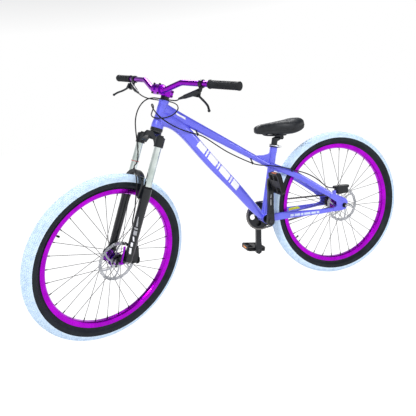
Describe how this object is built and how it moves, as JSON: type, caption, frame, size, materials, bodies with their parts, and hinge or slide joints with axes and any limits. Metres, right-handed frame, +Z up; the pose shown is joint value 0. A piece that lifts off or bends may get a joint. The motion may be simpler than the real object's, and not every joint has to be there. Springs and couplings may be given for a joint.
{
  "type": "dirt jump bicycle",
  "caption": "Dirt-jump bicycle with a hydroformed frame, suspension fork, disc brakes, one gear, a low saddle and a wide bar turned to the left.",
  "frame": {"origin": "where the rear tyre meets the ground, in the frame's middle plane", "axes": "+X forward along the frame, +Y to the rider's left, +Z up"},
  "size_m": [1.7202, 0.7282, 1.0914],
  "materials": {
    "frame_paint": "gloss",
    "anodised_rim": "gloss",
    "anodised_purple": "satin",
    "anodised_hub": "satin",
    "tyre_rubber": "matt",
    "tube_rubber": "matt",
    "spoke_steel": "polished",
    "rotor_steel": "brushed",
    "fork_black": "gloss",
    "stanchion": "polished",
    "bearing_steel": "brushed",
    "black_alloy": "satin",
    "axle_steel": "satin",
    "bolt_steel": "satin",
    "grip_rubber": "matt",
    "hose_rubber": "satin",
    "pedal_plastic": "matt",
    "saddle_leather": "satin",
    "saddle_plastic": "gloss",
    "rail_steel": "satin",
    "chain_steel": "satin",
    "pad_compound": "matt",
    "seal_rubber": "matt",
    "guide_plastic": "matt"
  },
  "bodies": {
    "frame": {"main_frame": "frame_paint", "rear_triangle": "frame_paint", "headset_bearings": "black_alloy", "bottom_bracket": "black_alloy", "seat_collar": "anodised_purple", "chain": "chain_steel", "rear_axle": "axle_steel", "rear_axle_nuts": "bolt_steel", "rear_caliper": "black_alloy", "rear_brake_pads": "pad_compound", "rear_brake_hose": "hose_rubber", "hose_guides": "guide_plastic"},
    "seat_post": {"seatpost": "black_alloy", "seat_clamp": "black_alloy", "saddle_rails": "rail_steel", "saddle_shell": "saddle_plastic", "saddle_cover": "saddle_leather"},
    "seat_release": {"seat_release_lever": "anodised_purple"},
    "steering": {"fork_crown": "fork_black", "fork_steerer": "axle_steel", "fork_stanchions": "stanchion", "fork_top_caps": "black_alloy", "stem": "anodised_purple", "stem_faceplate": "anodised_purple", "stem_bolts": "bolt_steel", "headset_spacers": "black_alloy", "handlebar": "anodised_purple", "grips": "grip_rubber", "brake_lever_bodies": "black_alloy", "front_brake_hose": "hose_rubber"},
    "left_brake": {"left_brake_lever": "black_alloy"},
    "right_brake": {"right_brake_lever": "black_alloy"},
    "lowers": {"fork_lowers": "fork_black", "fork_seals": "seal_rubber", "front_caliper": "black_alloy", "front_brake_pads": "pad_compound", "front_axle": "axle_steel"},
    "front_release": {"front_release_lever": "anodised_purple"},
    "front_wheel": {"front_hub": "anodised_hub", "front_hub_bearings": "bearing_steel", "front_rim": "anodised_rim", "front_tyre": "tyre_rubber", "front_inner_tube": "tube_rubber", "front_spokes": "spoke_steel", "front_rotor": "rotor_steel"},
    "rear_wheel": {"rear_hub": "anodised_hub", "rear_hub_bearings": "bearing_steel", "rear_rim": "anodised_rim", "rear_tyre": "tyre_rubber", "rear_inner_tube": "tube_rubber", "rear_spokes": "spoke_steel", "rear_rotor": "rotor_steel"},
    "freewheel": {"rear_sprocket": "chain_steel"},
    "cranks": {"crank_spindle": "axle_steel", "left_crank": "black_alloy", "right_crank": "black_alloy", "chainring": "black_alloy", "pedal_axles": "axle_steel"},
    "left_pedal_body": {"left_pedal": "pedal_plastic"},
    "right_pedal_body": {"right_pedal": "pedal_plastic"}
  },
  "joints": [
    {"name": "steering", "type": "hinge", "parent": "frame", "child": "steering", "pos_m": [1.0228, 0, 0.32311], "axis": [-0.4134, 0, 0.9105], "range_deg": [-96.8, 43.2], "deforming": ["rear_brake_hose"]},
    {"name": "seat_height", "type": "slide", "parent": "frame", "child": "seat_post", "axis": [-0.279, 0, 0.9603], "range_m": [-0.004, 0.1]},
    {"name": "seat_release", "type": "hinge", "parent": "frame", "child": "seat_release", "pos_m": [0.26502, 0.017, 0.66126], "axis": [-0.279, 0, 0.9603], "range_deg": [0, 150]},
    {"name": "left_brake", "type": "hinge", "parent": "steering", "child": "left_brake", "pos_m": [0.66243, 0.20984, 0.92387], "axis": [0.8653, 0.4492, 0.2223], "range_deg": [0, 20], "stiffness_Nm_per_rad": 1.2, "springref_deg": -20.05},
    {"name": "right_brake", "type": "hinge", "parent": "steering", "child": "right_brake", "pos_m": [0.85559, -0.18415, 1.0149], "axis": [-0.7358, -0.4518, -0.5045], "range_deg": [0, 20], "stiffness_Nm_per_rad": 1.2, "springref_deg": -20.05},
    {"name": "fork_travel", "type": "slide", "parent": "steering", "child": "lowers", "axis": [-0.4134, 0, 0.9105], "range_m": [0, 0.08], "stiffness_N_per_m": 7000, "springref_m": -0.01, "deforming": ["front_brake_hose"]},
    {"name": "front_release", "type": "hinge", "parent": "lowers", "child": "front_release", "pos_m": [1.03332, 0.08381, 0.32789], "axis": [-0.8127, -0.4509, -0.369], "range_deg": [0, 150]},
    {"name": "front_wheel_spin", "type": "hinge", "parent": "lowers", "child": "front_wheel", "pos_m": [1.0619, 0.02169, 0.34086], "axis": [-0.4105, 0.8926, -0.1864], "continuous": true},
    {"name": "rear_wheel_spin", "type": "hinge", "parent": "frame", "child": "rear_wheel", "pos_m": [0, 0, 0.343], "axis": [0, 1, 0], "continuous": true},
    {"name": "crank_spin", "type": "hinge", "parent": "frame", "child": "cranks", "pos_m": [0.37951, 0, 0.3514], "axis": [0, 1, 0], "continuous": true, "deforming": ["chain"]},
    {"name": "freewheel_spin", "type": "hinge", "parent": "frame", "child": "freewheel", "pos_m": [0, 0, 0.343], "axis": [0, 1, 0], "continuous": true},
    {"name": "left_pedal_spin", "type": "hinge", "parent": "cranks", "child": "left_pedal_body", "pos_m": [0.35728, 0, 0.52498], "axis": [0, 1, 0], "continuous": true},
    {"name": "right_pedal_spin", "type": "hinge", "parent": "cranks", "child": "right_pedal_body", "pos_m": [0.40175, 0, 0.17782], "axis": [0, 1, 0], "continuous": true}
  ],
  "couplings": [
    {"joint": "freewheel_spin", "follows": "crank_spin", "ratio": 2}
  ]
}
